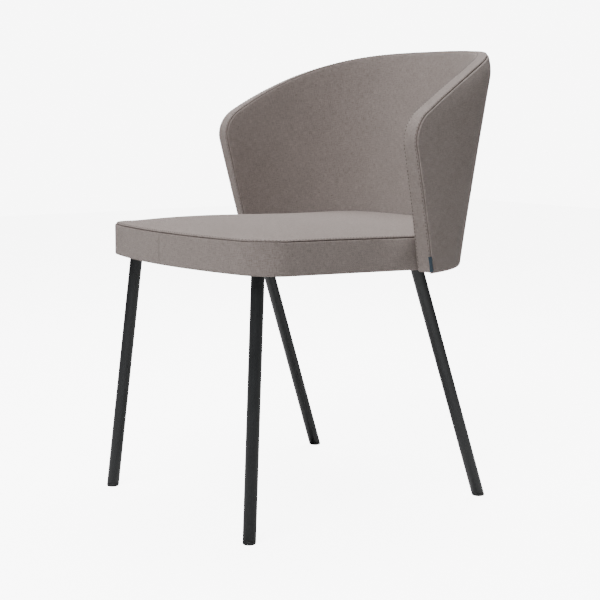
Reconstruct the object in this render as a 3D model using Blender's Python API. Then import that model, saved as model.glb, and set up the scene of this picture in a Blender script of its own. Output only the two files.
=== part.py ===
"""Upholstered dining armchair on four round steel legs.

Metres, +Z up. The sitter faces -Y and has +X on the left-hand side.
The origin is on the floor, under the middle of the chair's overall width and depth.
"""
import math

import bmesh
import bpy
import numpy as np

# ---------------------------------------------------------------- driving dimensions
DEPTH = 0.647              # seat front edge to the rearmost point of the back
GAP = 0.0003               # between pieces that touch
FABRIC = 0.0015            # upholstery cloth with its backing

# Wrap-around shell: back and arms in one
BACK_HEIGHT = 0.798        # top of the rim at the back, from the floor
SHELL_BOTTOM = 0.416       # underside of the shell, from the floor
SHELL_HALF_WIDTH = 0.283   # half of the width across the arms, at the underside
SHELL_REACH = 0.443        # rearmost point of the rim to the widest station of the plan
PLAN_POWER = 2.70          # 2 is an ellipse, higher is squarer
BACK_FLARE = 0.229         # how far the back leans out for each metre up
SIDE_FLARE = 0.016         # the same for the sides
RIM_SLOPE = 0.130          # fall of the rim for each metre forward, at the back
RIM_CURVE = 0.773          # how fast that fall grows further forward
ARM_LENGTH = 0.278         # rearmost point to the foot of the arm's front edge
ARM_RAKE = 0.254           # how far the arm's front edge leans forward for each metre up
ARM_CORNER = 0.035         # size of the round corner on top of the arm
CORNER_FULLNESS = 0.8      # weight of the corner's conic curve
SHELL_THICKNESS = 0.0334   # outer cover to inner cover
BAND_GAP = 0.0012          # rim band to the layers it covers
CORE_DEPTH = 0.0068        # outer cover's face to the plywood core
CORE_THICKNESS = 0.010
RIM_FOAM = 0.009           # foam strip between the core's edge and the rim band

# Seat cushion
SEAT_FRONT_HEIGHT = 0.487  # top seam at the front edge, from the floor
SEAT_PITCH = 0.030         # fall of the seat for each metre towards the back
SEAT_BOXING = 0.055        # height of the cushion's side band
SEAT_CROWN = 0.022         # rise of the cushion's middle above the top seam
SEAT_HALF_WIDTH = 0.236    # at the front corners
SEAT_BOW = 0.042           # how far the front edge curves back at its corners
SEAT_CORNER = 0.047        # size of the front corners
SEAT_CLEARANCE = 0.003     # cushion to the shell's inner cover
SEAT_CROWN_POWER = 4.0     # higher keeps the cushion's top flatter
SEAT_CROWN_RUN = 0.291     # front edge to where the crown is full
BOARD_THICKNESS = 0.018
RECESS_LIP = 0.005         # rim of the board around its underside recess

# Underframe and legs
LEG_RADIUS = 0.011
LEG_WALL = 0.0015
FRONT_FOOT = (0.214, 0.028)    # half of the track, distance behind the seat's front edge
FRONT_TOP = (0.1845, 0.066)
REAR_FOOT = (0.236, 0.124)     # half of the track, distance ahead of the back's rearmost point
REAR_TOP = (0.0110, 0.272)     # inboard of the shell's lining, distance ahead of the same
LEG_TOP_LEVEL = 0.420          # height at which the two tops above are given
BAR_WIDTH = 0.025
BAR_THICKNESS = 0.005
BAR_OVERHANG = (0.018, 0.006)  # side bar beyond the centres of the front and rear legs
BAR_INSET = 0.0150             # rear end of the side bar inboard of the rear leg's centre
DUST_COVER = 0.0008
GLIDE_HEIGHT = 0.006
GLIDE_STEM = 0.024
GLIDE_CHAMFER = 0.0015

# Fasteners
SCREW_RADIUS = 0.003
SCREW_LENGTH = 0.015
SCREW_HEAD_RADIUS = 0.0058
SCREW_HEAD_HEIGHT = 0.003
SCREW_CLEARANCE = 0.0003
SCREW_PLACES = (0.3, 0.7)      # shares of a bar's length
CUTTER_REACH = 0.002           # how far a cutter starts outside the face it cuts
LEG_CUTTER_REACH = 0.020       # the same below the seat, to pass the shell's lower edge
BOLT_ANGLES = (50.0, 16.0)     # degrees round the plan from straight back, each side
BOLT_RADIUS = 0.003
BOLT_LENGTH = 0.050
BOLT_HEAD_RADIUS = 0.006
BOLT_HEAD_HEIGHT = 0.0035
BOLT_DEPTH = 0.0070            # outer cover's face to the bolt's head
SLEEVE_RADIUS = 0.005
SLEEVE_SEAT = 0.0008           # how far a sleeve's ends sink into the wood
LABEL_SIZE = (0.0012, 0.009, 0.026)   # thickness, reach forward out of the seam, height
LABEL_HEIGHT = 0.420                  # its lower end, from the floor
LABEL_GAP = 0.0008                    # from the band, which curves behind the label

# Mesh fineness
SHELL_COLUMNS = 16            # from the middle of the back to one arm's front edge
SHELL_ROWS = 6
CORNER_CROWDING = 1.3         # 1 spaces the shell's points evenly, more crowds the arm's corner
RING_SEGMENTS = 20
SMALL_SEGMENTS = 12
SEAT_FRONT_POINTS = 7         # from the middle of the front to its corner
SEAT_CORNER_POINTS = 7
SEAT_SIDE_POINTS = 8
SEAT_REAR_POINTS = 12
CROWN_RINGS = (0.95, 0.85, 0.70, 0.45)   # shares of the seat's outline
LINE_SAMPLES = 40             # fine points that a run's own points are read from
CORNER_SAMPLES = 20
RIM_SAMPLES = 160
FOOT_SAMPLES = 200
SOLVE_STEPS = 40              # rounds until a height or a cut settles

# ---------------------------------------------------------------- derived values
FRONT_Y = -DEPTH / 2
BACK_Y = DEPTH / 2
PLAN_CENTRE_Y = BACK_Y - SHELL_REACH
SHELL_HEIGHT = BACK_HEIGHT - SHELL_BOTTOM
LAYER_INSET = FABRIC + GAP
RIM_INSET = FABRIC + BAND_GAP
CORE_BACK = CORE_DEPTH + CORE_THICKNESS
INNER_COVER = SHELL_THICKNESS - FABRIC
LINING_BOTTOM = SHELL_BOTTOM + LAYER_INSET
SEAT_RECESS = DUST_COVER + GAP
BAR_BOTTOM = SEAT_RECESS
RECESS_TOP = BAR_BOTTOM + BAR_THICKNESS + GAP
BOARD_TOP = SEAT_RECESS + BOARD_THICKNESS
BOLT_LEVEL = SEAT_RECESS + BOARD_THICKNESS / 2


# ---------------------------------------------------------------- mesh helpers
def material(name, rgb, roughness, metallic=0.0):
    found = bpy.data.materials.get(name)
    if found:
        return found
    made = bpy.data.materials.new(name)
    made.use_nodes = True
    shader = made.node_tree.nodes["Principled BSDF"]
    shader.inputs["Base Color"].default_value = (*rgb, 1.0)
    shader.inputs["Roughness"].default_value = roughness
    shader.inputs["Metallic"].default_value = metallic
    made.diffuse_color = (*rgb, 1.0)
    return made


def fabric():
    return material("upholstery_fabric", (0.25, 0.22, 0.205), 0.9)


def foam():
    return material("foam", (0.80, 0.76, 0.62), 0.95)


def plywood():
    return material("plywood", (0.62, 0.45, 0.27), 0.6)


def coated_steel():
    return material("black_steel", (0.012, 0.012, 0.013), 0.45, 0.3)


def zinc_steel():
    return material("zinc_steel", (0.60, 0.60, 0.58), 0.35, 1.0)


def black_plastic():
    return material("black_plastic", (0.015, 0.015, 0.016), 0.5)


def black_felt():
    return material("black_nonwoven", (0.02, 0.02, 0.02), 0.95)


def label_cloth():
    return material("label_cloth", (0.03, 0.06, 0.09), 0.8)


def add_object(name, points, faces, mat, smooth_angle=35.0):
    """Make a closed mesh object and turn its faces outwards."""
    mesh = bpy.data.meshes.new(name)
    mesh.from_pydata([tuple(float(c) for c in p) for p in points], [], faces)
    work = bmesh.new()
    work.from_mesh(mesh)
    bmesh.ops.recalc_face_normals(work, faces=work.faces)
    work.to_mesh(mesh)
    work.free()
    mesh.shade_smooth()
    mesh.set_sharp_from_angle(angle=math.radians(smooth_angle))
    mesh.materials.append(mat)
    made = bpy.data.objects.new(name, mesh)
    bpy.context.scene.collection.objects.link(made)
    return made


def slab(name, face, back, mat):
    """Closed body between two grids of points of the same size."""
    rows, columns = face.shape[:2]
    count = rows * columns
    points = np.concatenate([face.reshape(-1, 3), back.reshape(-1, 3)])
    faces = []
    for r in range(rows - 1):
        for c in range(columns - 1):
            a = r * columns + c
            far = a + columns + 1
            for triangle in ((a, a + 1, far), (a, far, a + columns)):
                faces.append(triangle)
                faces.append(tuple(count + i for i in reversed(triangle)))
    edge = [(0, c) for c in range(columns)]
    edge += [(r, columns - 1) for r in range(1, rows)]
    edge += [(rows - 1, c) for c in range(columns - 2, -1, -1)]
    edge += [(r, 0) for r in range(rows - 2, 0, -1)]
    loop = [r * columns + c for r, c in edge]
    for i, a in enumerate(loop):
        b = loop[(i + 1) % len(loop)]
        faces.append((b, a, a + count, b + count))
    return add_object(name, points, faces, mat)


def lathe_like(name, rings, mat, capped=True, smooth_angle=35.0):
    """Closed body through rings of equal count: capped at both ends, or joined end to end."""
    size = len(rings[0])
    points = np.concatenate(rings)
    faces = []
    steps = len(rings) - 1 if capped else len(rings)
    for k in range(steps):
        low = k * size
        high = ((k + 1) % len(rings)) * size
        for i in range(size):
            j = (i + 1) % size
            faces.append((low + i, low + j, high + j))
            faces.append((low + i, high + j, high + i))
    if capped:
        for ring, start in ((rings[0], 0), (rings[-1], len(rings) * size - size)):
            points = np.concatenate([points, [np.mean(ring, axis=0)]])
            hub = len(points) - 1
            faces += [(start + i, start + (i + 1) % size, hub) for i in range(size)]
    return add_object(name, points, faces, mat, smooth_angle)


def circle_about(axis):
    """Two unit vectors square to an axis."""
    axis = np.asarray(axis, float)
    helper = np.array([0.0, 0.0, 1.0]) if abs(axis[2]) < 0.9 else np.array([0.0, 1.0, 0.0])
    first = np.cross(helper, axis)
    first /= np.linalg.norm(first)
    return first, np.cross(axis, first)


def turned_rings(start, axis, profile, segments=RING_SEGMENTS):
    """Rings of a turned shape: profile holds (distance along the axis, radius)."""
    axis = np.asarray(axis, float) / np.linalg.norm(axis)
    first, second = circle_about(axis)
    turn = np.linspace(0, 2 * math.pi, segments, endpoint=False)
    spokes = np.outer(np.cos(turn), first) + np.outer(np.sin(turn), second)
    return [np.asarray(start) + axis * along + spokes * radius for along, radius in profile]


def cutter(name, rings):
    """A capped body that only cuts others."""
    made = lathe_like(name, rings, zinc_steel())
    made.hide_render = True
    made.display_type = "WIRE"
    return made


def cut(target, tool):
    """Take the tool's shape out of the target."""
    step = target.modifiers.new("cut_" + tool.name, "BOOLEAN")
    step.operation = "DIFFERENCE"
    step.object = tool


# ---------------------------------------------------------------- shell geometry
def plan_point(angle, height, depth=0.0):
    """Point of the shell: angle round the plan from straight back, depth inwards."""
    up = height - SHELL_BOTTOM
    half_width = SHELL_HALF_WIDTH + SIDE_FLARE * up
    reach = SHELL_REACH + BACK_FLARE * (up - SHELL_HEIGHT)
    across = np.sin(angle)
    back = np.cos(angle)
    radius = (np.abs(across / half_width) ** PLAN_POWER + np.abs(back / reach) ** PLAN_POWER)
    radius = radius ** (-1 / PLAN_POWER)
    x = radius * across
    y = radius * back
    nx = np.sign(x) * np.abs(x / half_width) ** (PLAN_POWER - 1) / half_width
    ny = np.abs(y / reach) ** (PLAN_POWER - 1) / reach
    length = np.hypot(nx, ny)
    return np.stack([x - depth * nx / length,
                     y - depth * ny / length + PLAN_CENTRE_Y,
                     height + 0 * x], axis=-1)


def rim_height(y):
    """Height of the rim over a station of the side view."""
    forward = BACK_Y - y
    return BACK_HEIGHT - RIM_SLOPE * forward - RIM_CURVE * forward ** 2


def arm_front(height):
    """Station of the arm's front edge at a height."""
    return BACK_Y - ARM_LENGTH - ARM_RAKE * (height - SHELL_BOTTOM)


def corner_points(inset):
    """Start, middle and end of the curve over the arm's top corner, in the side view."""
    height = BACK_HEIGHT
    for _ in range(SOLVE_STEPS):
        height = rim_height(arm_front(height))
    middle = np.array([arm_front(height), height])
    start = np.array([arm_front(height - ARM_CORNER), height - ARM_CORNER])
    end_y = middle[0] + ARM_CORNER
    end = np.array([end_y, rim_height(end_y)])
    shift = np.array([inset, -inset])
    return start + (inset, 0), middle + shift, end + (0, -inset)


def corner_curve(inset, count, first, last):
    """Points of the corner between two shares of its run."""
    start, middle, end = corner_points(inset)
    t = np.linspace(first, last, count)[:, None]
    low = (1 - t) ** 2
    mid = 2 * CORNER_FULLNESS * t * (1 - t)
    high = t ** 2
    return (low * start + mid * middle + high * end) / (low + mid + high)


def plan_angle(y, height):
    """Angle round the plan at which the outer face has a given y, on the +X side."""
    up = height - SHELL_BOTTOM
    half_width = SHELL_HALF_WIDTH + SIDE_FLARE * up
    reach = SHELL_REACH + BACK_FLARE * (up - SHELL_HEIGHT)
    share = np.clip((y - PLAN_CENTRE_Y) / reach, 0.0, 1.0)
    x = half_width * (1 - share ** PLAN_POWER) ** (1 / PLAN_POWER)
    return np.arctan2(x, y - PLAN_CENTRE_Y)


def spread(points, count):
    """Share out points along a run, closer together near its start."""
    step = np.linalg.norm(np.diff(points, axis=0), axis=1)
    run = np.concatenate([[0.0], np.cumsum(step)])
    places = run[-1] * np.linspace(0, 1, count) ** CORNER_CROWDING
    return np.stack([np.interp(places, run, column) for column in points.T], axis=1)


def on_shell(side):
    """Angle, height and outer point for points of the side view."""
    angle = plan_angle(side[:, 0], side[:, 1])
    return np.column_stack([plan_point(angle, side[:, 1]), angle])


def front_edge(inset, bottom, count):
    """Arm's front edge from the bottom to the middle of its top corner."""
    start = corner_points(inset)[0]
    line_z = np.linspace(bottom, start[1], LINE_SAMPLES)
    line = np.column_stack([arm_front(line_z) + inset, line_z])
    side = np.concatenate([line, corner_curve(inset, CORNER_SAMPLES, 0.0, 0.5)[1:]])
    return spread(on_shell(side)[::-1], count)[::-1]


def top_edge(inset, count):
    """Rim from the middle of the arm's corner to the middle of the back."""
    end = corner_points(inset)[2]
    station = np.sin(np.linspace(0, math.pi / 2, RIM_SAMPLES))
    y = end[0] + (BACK_Y - end[0]) * station
    rim = np.column_stack([y, rim_height(y) - inset])
    side = np.concatenate([corner_curve(inset, CORNER_SAMPLES, 0.5, 1.0), rim[1:]])
    return spread(on_shell(side), count)


def mirrored(half):
    """A half grid that ends on the middle of the back, joined to its mirror image."""
    other = half[:, ::-1][:, 1:] * np.array([-1.0, 1.0, 1.0])
    return np.concatenate([half, other], axis=1)


def shell_grid(depth, inset, bottom=SHELL_BOTTOM):
    """Grid of points over the shell at one depth, from arm to arm and bottom to rim."""
    columns = SHELL_COLUMNS + 1
    front = front_edge(inset, bottom, SHELL_ROWS + 1)
    top = top_edge(inset, columns)
    foot = plan_angle(arm_front(bottom) + inset, bottom)
    angles = np.linspace(foot, 0.0, FOOT_SAMPLES)
    run = np.column_stack([plan_point(angles, bottom), angles])
    low = spread(run, columns)
    rows = []
    for b, edge in zip(np.linspace(0, 1, SHELL_ROWS + 1), front):
        share_low = low[:, 3] / low[0, 3]
        share_top = top[:, 3] / top[0, 3]
        angle = edge[3] * ((1 - b) * share_low + b * share_top)
        rise = (edge[2] - front[0, 2]) / (front[-1, 2] - front[0, 2])
        height = low[:, 2] + rise * (top[:, 2] - low[:, 2])
        rows.append(plan_point(angle, height, depth))
    return mirrored(np.array(rows))


def towards(points, goal, amount):
    """Points moved a distance towards their goals."""
    run = goal - points
    return points + run * (amount / np.linalg.norm(run, axis=-1, keepdims=True))


def trimmed(grid, amount):
    """Grid whose rim and arm fronts are pulled in along its own surface."""
    made = grid.copy()
    made[-1] = towards(grid[-1], grid[-2], amount)
    made[:, 0] = towards(made[:, 0], made[:, 1], amount)
    made[:, -1] = towards(made[:, -1], made[:, -2], amount)
    return made


def border(grid):
    """A grid's edge from one arm's foot over the rim to the other arm's foot."""
    return np.concatenate([grid[:-1, 0], grid[-1], grid[-2::-1, -1]])


def shell_layer(name, depth_out, depth_in, mat, bottom=SHELL_BOTTOM, trim=0.0):
    faces = [trimmed(shell_grid(depth, RIM_INSET, bottom), trim) for depth in (depth_out, depth_in)]
    return slab(name, faces[0], faces[1], mat)


def rim_band():
    """Cover strip over the rim, from the outer seam to the inner seam."""
    faces = [np.array([border(shell_grid(depth, inset)) for depth in (0.0, SHELL_THICKNESS)])
             for inset in (0.0, FABRIC)]
    return slab("shell_cover_band", faces[0], faces[1], fabric())


def rim_foam():
    """Foam strip along the edge of the plywood core, under the band."""
    edges = [shell_grid(depth, RIM_INSET, LINING_BOTTOM) for depth in (CORE_DEPTH, CORE_BACK)]
    outer = np.array([border(grid) for grid in edges])
    inner = np.array([border(trimmed(grid, RIM_FOAM - GAP)) for grid in edges])
    return slab("shell_foam_rim", outer, inner, foam())


# ---------------------------------------------------------------- seat geometry
def seat_level(y, above=0.0):
    """Height of a level of the seat, counted up from its underside."""
    return SEAT_FRONT_HEIGHT - SEAT_BOXING - SEAT_PITCH * (y - FRONT_Y) + above


def seat_outline(level):
    """Plan of the seat at a level, counter-clockwise from the front's middle."""
    bow = SEAT_BOW / SEAT_HALF_WIDTH ** 2
    front_x = np.linspace(0.0, SEAT_HALF_WIDTH - SEAT_CORNER, SEAT_FRONT_POINTS)
    front = np.column_stack([front_x, FRONT_Y + bow * front_x ** 2])
    rear = seat_rear(level)
    tip = np.array([SEAT_HALF_WIDTH, FRONT_Y + SEAT_BOW])
    along = rear[0] - tip
    end = tip + along / np.linalg.norm(along) * SEAT_CORNER
    t = np.linspace(0, 1, SEAT_CORNER_POINTS)[1:, None]
    round_corner = corner_arc(front[-1], tip, end, t)
    side = np.linspace(end, rear[0], SEAT_SIDE_POINTS)[1:-1]
    half_loop = np.concatenate([front, round_corner, side, rear])
    other = half_loop[1:-1][::-1] * np.array([-1.0, 1.0])
    return np.concatenate([half_loop, other])


def seat_rear(level):
    """Part of the seat's plan that follows the shell's inner cover, on the +X side."""
    depth = SHELL_THICKNESS + SEAT_CLEARANCE
    angle = np.linspace(plan_angle(BACK_Y - ARM_LENGTH, SHELL_BOTTOM), 0.0, SEAT_REAR_POINTS)
    rear = plan_point(angle, seat_level(0.0, level), depth)
    return plan_point(angle, seat_level(rear[:, 1], level), depth)[:, :2]


def shrunk(loop, inset):
    """Loop moved inwards by a distance along its own normals."""
    along = np.roll(loop, -1, axis=0) - np.roll(loop, 1, axis=0)
    along /= np.linalg.norm(along, axis=1)[:, None]
    return loop + inset * np.column_stack([-along[:, 1], along[:, 0]])


def corner_arc(start, tip, end, t):
    """Cubic curve from start to end that hugs the corner like a circle's quarter."""
    handle = 4 / 3 * (math.sqrt(2) - 1)
    first = start + (tip - start) * handle
    second = end + (tip - end) * handle
    return ((1 - t) ** 3 * start + 3 * (1 - t) ** 2 * t * first
            + 3 * (1 - t) * t ** 2 * second + t ** 3 * end)


def crown(x, y):
    """Rise of the cushion above its seam plane."""
    front = FRONT_Y + SEAT_BOW * (x / SEAT_HALF_WIDTH) ** 2
    forward = np.clip((front + SEAT_CROWN_RUN - y) / SEAT_CROWN_RUN, 0.0, 1.0)
    sideways = np.clip(np.abs(x) / (SEAT_HALF_WIDTH + SEAT_CLEARANCE), 0.0, 1.0)
    return SEAT_CROWN * (1 - sideways ** SEAT_CROWN_POWER) * (1 - forward ** SEAT_CROWN_POWER)


def seat_ring(level, inset=0.0, scale=1.0, crowned=False):
    """Loop of the seat's plan at a level; crowned follows the cushion's domed top."""
    loop = shrunk(seat_outline(level), inset)
    hub = np.array([0.0, loop[:, 1].mean()])
    loop = hub + (loop - hub) * scale
    rise = crown(loop[:, 0], loop[:, 1]) if crowned else 0.0
    return np.column_stack([loop, seat_level(loop[:, 1], level) + rise])


def seat_cover_top():
    """Top panel: a domed sheet out to the boxing's outer face."""
    scales = (1.0, *CROWN_RINGS)
    above = [seat_ring(SEAT_BOXING, scale=k, crowned=True) for k in scales]
    below = [seat_ring(SEAT_BOXING - FABRIC, scale=k, crowned=True) for k in scales]
    return lathe_like("seat_cover_top", below[::-1] + above, fabric())


def seat_cover_boxing():
    """Side band of the cushion's cover, sewn under the top panel's edge."""
    top = SEAT_BOXING - FABRIC - GAP
    rings = [seat_ring(0.0), seat_ring(top / 2), seat_ring(top, crowned=True),
             seat_ring(top, FABRIC, crowned=True), seat_ring(top / 2, FABRIC),
             seat_ring(0.0, FABRIC)]
    return lathe_like("seat_cover_boxing", rings, fabric(), capped=False)


def seat_foam():
    """Foam block between the board and the cover, its rings running out and down as the cover's."""
    top = SEAT_BOXING - FABRIC - GAP
    rings = [seat_ring(top, scale=k, crowned=True) for k in CROWN_RINGS[::-1]]
    rings += [seat_ring(top - GAP, LAYER_INSET, crowned=True),
              seat_ring(SEAT_BOXING / 2, LAYER_INSET),
              seat_ring(BOARD_TOP + GAP, LAYER_INSET)]
    return lathe_like("seat_foam", rings, foam())


def seat_board():
    """Plywood board with a shallow recess underneath for the steel bars."""
    rings = [seat_ring(RECESS_TOP, LAYER_INSET + RECESS_LIP),
             seat_ring(SEAT_RECESS, LAYER_INSET + RECESS_LIP),
             seat_ring(SEAT_RECESS, LAYER_INSET), seat_ring(BOARD_TOP, LAYER_INSET)]
    return lathe_like("seat_board", rings, plywood())


def seat_dust_cover():
    """Thin sheet stapled under the board."""
    rings = [seat_ring(0.0, LAYER_INSET), seat_ring(DUST_COVER, LAYER_INSET)]
    return lathe_like("seat_dust_cover", rings, black_felt())


# ---------------------------------------------------------------- legs and underframe
def lining_half_width(y):
    """Half of the clear width between the arms at a station, at the seat's underside."""
    angle = np.linspace(0.0, math.pi / 2, RIM_SAMPLES)
    lining = plan_point(angle, seat_level(y), SHELL_THICKNESS)
    return np.interp(y, lining[::-1, 1], lining[::-1, 0])


def leg_places(place):
    """Plan points of a left leg's foot and top."""
    if place == "front":
        return ((FRONT_FOOT[0], FRONT_Y + FRONT_FOOT[1]), (FRONT_TOP[0], FRONT_Y + FRONT_TOP[1]))
    y = BACK_Y - REAR_TOP[1]
    return ((REAR_FOOT[0], BACK_Y - REAR_FOOT[1]), (lining_half_width(y) - REAR_TOP[0], y))


def leg_line(place, side):
    """A leg's foot on the floor and its unit direction."""
    foot, top = leg_places(place)
    start = np.array([side * foot[0], foot[1], 0.0])
    end = np.array([side * top[0], top[1], LEG_TOP_LEVEL])
    axis = end - start
    return start, axis / np.linalg.norm(axis)


def ring_on_plane(start, axis, radius, height_of, segments=RING_SEGMENTS):
    """Circle of a tube cut by a plane whose height depends on y."""
    ring = turned_rings(start, axis, [(0.0, radius)], segments)[0]
    for _ in range(SOLVE_STEPS):
        ring = ring + np.outer((height_of(ring[:, 1]) - ring[:, 2]) / axis[2], axis)
    return ring


def bar_underside(y):
    return seat_level(y, BAR_BOTTOM)


def leg_top(y):
    return bar_underside(y) - GAP


def flat(height):
    return lambda y: height + 0 * y


def leg(name, line):
    """Steel tube, open at both ends, cut level at the floor and to the seat's pitch on top."""
    start, axis = line
    bottom = flat(GLIDE_HEIGHT + GAP)
    rings = [ring_on_plane(start, axis, LEG_RADIUS, bottom),
             ring_on_plane(start, axis, LEG_RADIUS, leg_top),
             ring_on_plane(start, axis, LEG_RADIUS - LEG_WALL, leg_top),
             ring_on_plane(start, axis, LEG_RADIUS - LEG_WALL, bottom)]
    return lathe_like(name, rings, coated_steel(), capped=False)


def glide(name, line):
    """Plastic foot with a stem inside the tube and a flat, chamfered underside."""
    start, axis = line
    stem = LEG_RADIUS - LEG_WALL - GAP
    rings = [ring_on_plane(start, axis, LEG_RADIUS - GLIDE_CHAMFER, flat(0.0)),
             ring_on_plane(start, axis, LEG_RADIUS, flat(GLIDE_CHAMFER)),
             ring_on_plane(start, axis, LEG_RADIUS, flat(GLIDE_HEIGHT)),
             ring_on_plane(start, axis, stem, flat(GLIDE_HEIGHT)),
             ring_on_plane(start, axis, stem, flat(GLIDE_STEM))]
    return lathe_like(name, rings, black_plastic())


def leg_hole(name, line):
    """Cutter for the slot where a leg passes the covers to reach the bars."""
    start, axis = line
    radius = LEG_RADIUS + GAP
    rings = [ring_on_plane(start, axis, radius, lambda y: seat_level(y, -LEG_CUTTER_REACH)),
             ring_on_plane(start, axis, radius, bar_underside)]
    return cutter(name, rings)


def bar(name, a, b, half_width=BAR_WIDTH / 2):
    """Flat steel bar between two plan points, lying in the seat's underside."""
    a = np.asarray(a, float)
    b = np.asarray(b, float)
    along = (b - a) / np.linalg.norm(b - a)
    aside = np.array([-along[1], along[0]]) * half_width
    loop = np.array([a - aside, b - aside, b + aside, a + aside])
    rings = [np.column_stack([loop, seat_level(loop[:, 1], h)])
             for h in (BAR_BOTTOM, BAR_BOTTOM + BAR_THICKNESS)]
    return lathe_like(name, rings, coated_steel())


def side_bar_ends(side):
    """Plan points of a side bar: over the front leg, and inboard of the rear leg."""
    front = np.array(leg_places("front")[1]) * (side, 1)
    rear = (np.array(leg_places("rear")[1]) - (BAR_INSET, 0)) * (side, 1)
    along = (rear - front) / np.linalg.norm(rear - front)
    return front - along * BAR_OVERHANG[0], rear + along * BAR_OVERHANG[1]


def cross_bar_ends(station):
    """Plan points of a cross bar, butted between the side bars at a station."""
    a, b = side_bar_ends(1)
    share = (station - a[1]) / (b[1] - a[1])
    lean = (b[0] - a[0]) / (b[1] - a[1])
    half = BAR_WIDTH / 2 * math.hypot(1.0, lean) + abs(lean) * BAR_WIDTH / 2 + GAP
    x = a[0] + (b[0] - a[0]) * share - half
    return (-x, station), (x, station)


def screw_rings(x, y, clearance=0.0):
    """Countersunk screw driven up through a bar, or with a clearance the hole for it."""
    foot = -CUTTER_REACH if clearance else GAP
    head = SCREW_HEAD_RADIUS + clearance
    shank = SCREW_RADIUS + clearance
    profile = [(foot, head), (2 * GAP, head), (GAP + SCREW_HEAD_HEIGHT, shank),
               (SCREW_LENGTH + clearance, shank)]
    return turned_rings((x, y, seat_level(y, BAR_BOTTOM)), (0, 0, 1), profile, SMALL_SEGMENTS)


# ---------------------------------------------------------------- shell fixings
def bolt_frame(angle):
    """Start on the shell's outer face and inward direction of a fixing bolt."""
    height = SHELL_BOTTOM
    for _ in range(SOLVE_STEPS):
        start = plan_point(angle, height)
        height = seat_level(start[1], BOLT_LEVEL)
    inner = plan_point(angle, height, SHELL_THICKNESS)
    return start, (inner - start) / np.linalg.norm(inner - start)


def sleeve_span():
    """Depths at which a spacer sleeve starts and ends."""
    board_edge = SHELL_THICKNESS + SEAT_CLEARANCE + LAYER_INSET
    return CORE_BACK - SLEEVE_SEAT, board_edge + 2 * SLEEVE_SEAT


def bolt_rings(angle):
    start, inward = bolt_frame(angle)
    neck = BOLT_DEPTH + BOLT_HEAD_HEIGHT
    profile = [(BOLT_DEPTH, BOLT_HEAD_RADIUS), (neck, BOLT_HEAD_RADIUS),
               (neck, BOLT_RADIUS), (neck + BOLT_LENGTH, BOLT_RADIUS)]
    return turned_rings(start, inward, profile, SMALL_SEGMENTS)


def bolt_hole_rings(angle):
    """Access bore, shank hole and sleeve seats for one bolt, as one stepped cutter."""
    start, inward = bolt_frame(angle)
    first, last = sleeve_span()
    neck = BOLT_DEPTH + BOLT_HEAD_HEIGHT
    access = BOLT_HEAD_RADIUS + GAP
    shank = BOLT_RADIUS + GAP
    sleeve = SLEEVE_RADIUS + GAP
    profile = [(-CUTTER_REACH, access), (neck + GAP, access), (neck + GAP, shank),
               (first - GAP, shank), (first - GAP, sleeve), (last + GAP, sleeve),
               (last + GAP, shank), (neck + BOLT_LENGTH + GAP, shank)]
    return turned_rings(start, inward, profile, SMALL_SEGMENTS)


def sleeve(name, angle):
    """Steel tube that spaces the shell's core from the seat board round a bolt."""
    start, inward = bolt_frame(angle)
    first, last = sleeve_span()
    bore = BOLT_RADIUS + GAP
    profile = [(first, SLEEVE_RADIUS), (last, SLEEVE_RADIUS), (last, bore), (first, bore)]
    rings = turned_rings(start, inward, profile, SMALL_SEGMENTS)
    return lathe_like(name, rings, zinc_steel(), capped=False)


def label_ring(height):
    """Section of the label at a height, beside the band's outer seam."""
    thick, reach, _ = LABEL_SIZE
    angle = plan_angle(arm_front(height), height)
    corner = plan_point(angle, height, -LABEL_GAP)
    outward = corner - plan_point(angle, height, SHELL_THICKNESS)
    outward *= thick / np.linalg.norm(outward)
    forward = np.array([0.0, -reach, 0.0])
    return np.array([corner, corner + forward, corner + forward + outward, corner + outward])


def side_label():
    """Small folded label sewn in the outer seam at the foot of the left arm."""
    heights = LABEL_HEIGHT + np.linspace(0.0, LABEL_SIZE[2], 3)
    return lathe_like("side_label", [label_ring(h) for h in heights], label_cloth())


# ---------------------------------------------------------------- assembly
def build_shell():
    rim_band()
    rim_foam()
    return {
        "outer_cover": shell_layer("shell_cover_outer", 0.0, FABRIC, fabric()),
        "outer_foam": shell_layer("shell_foam_outer", LAYER_INSET, CORE_DEPTH - GAP, foam(),
                                  LINING_BOTTOM),
        "core": shell_layer("shell_core", CORE_DEPTH, CORE_BACK, plywood(), LINING_BOTTOM, RIM_FOAM),
        "inner_foam": shell_layer("shell_foam_inner", CORE_BACK + GAP, INNER_COVER - GAP, foam(),
                                  LINING_BOTTOM),
        "inner_cover": shell_layer("shell_cover_inner", INNER_COVER, SHELL_THICKNESS, fabric()),
    }


def build_seat():
    return {"top": seat_cover_top(), "boxing": seat_cover_boxing(), "foam": seat_foam(),
            "board": seat_board(), "dust_cover": seat_dust_cover()}


def build_legs(shell, seat):
    for place in ("front", "rear"):
        for hand, side in (("left", 1), ("right", -1)):
            line = leg_line(place, side)
            leg(f"leg_{place}_{hand}", line)
            glide(f"glide_{place}_{hand}", line)
            hole = leg_hole(f"hole_{place}_{hand}", line)
            cut(seat["dust_cover"], hole)
            if place == "rear":
                cut(seat["boxing"], hole)
                cut(shell["inner_cover"], hole)
                cut(shell["inner_foam"], hole)


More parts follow.
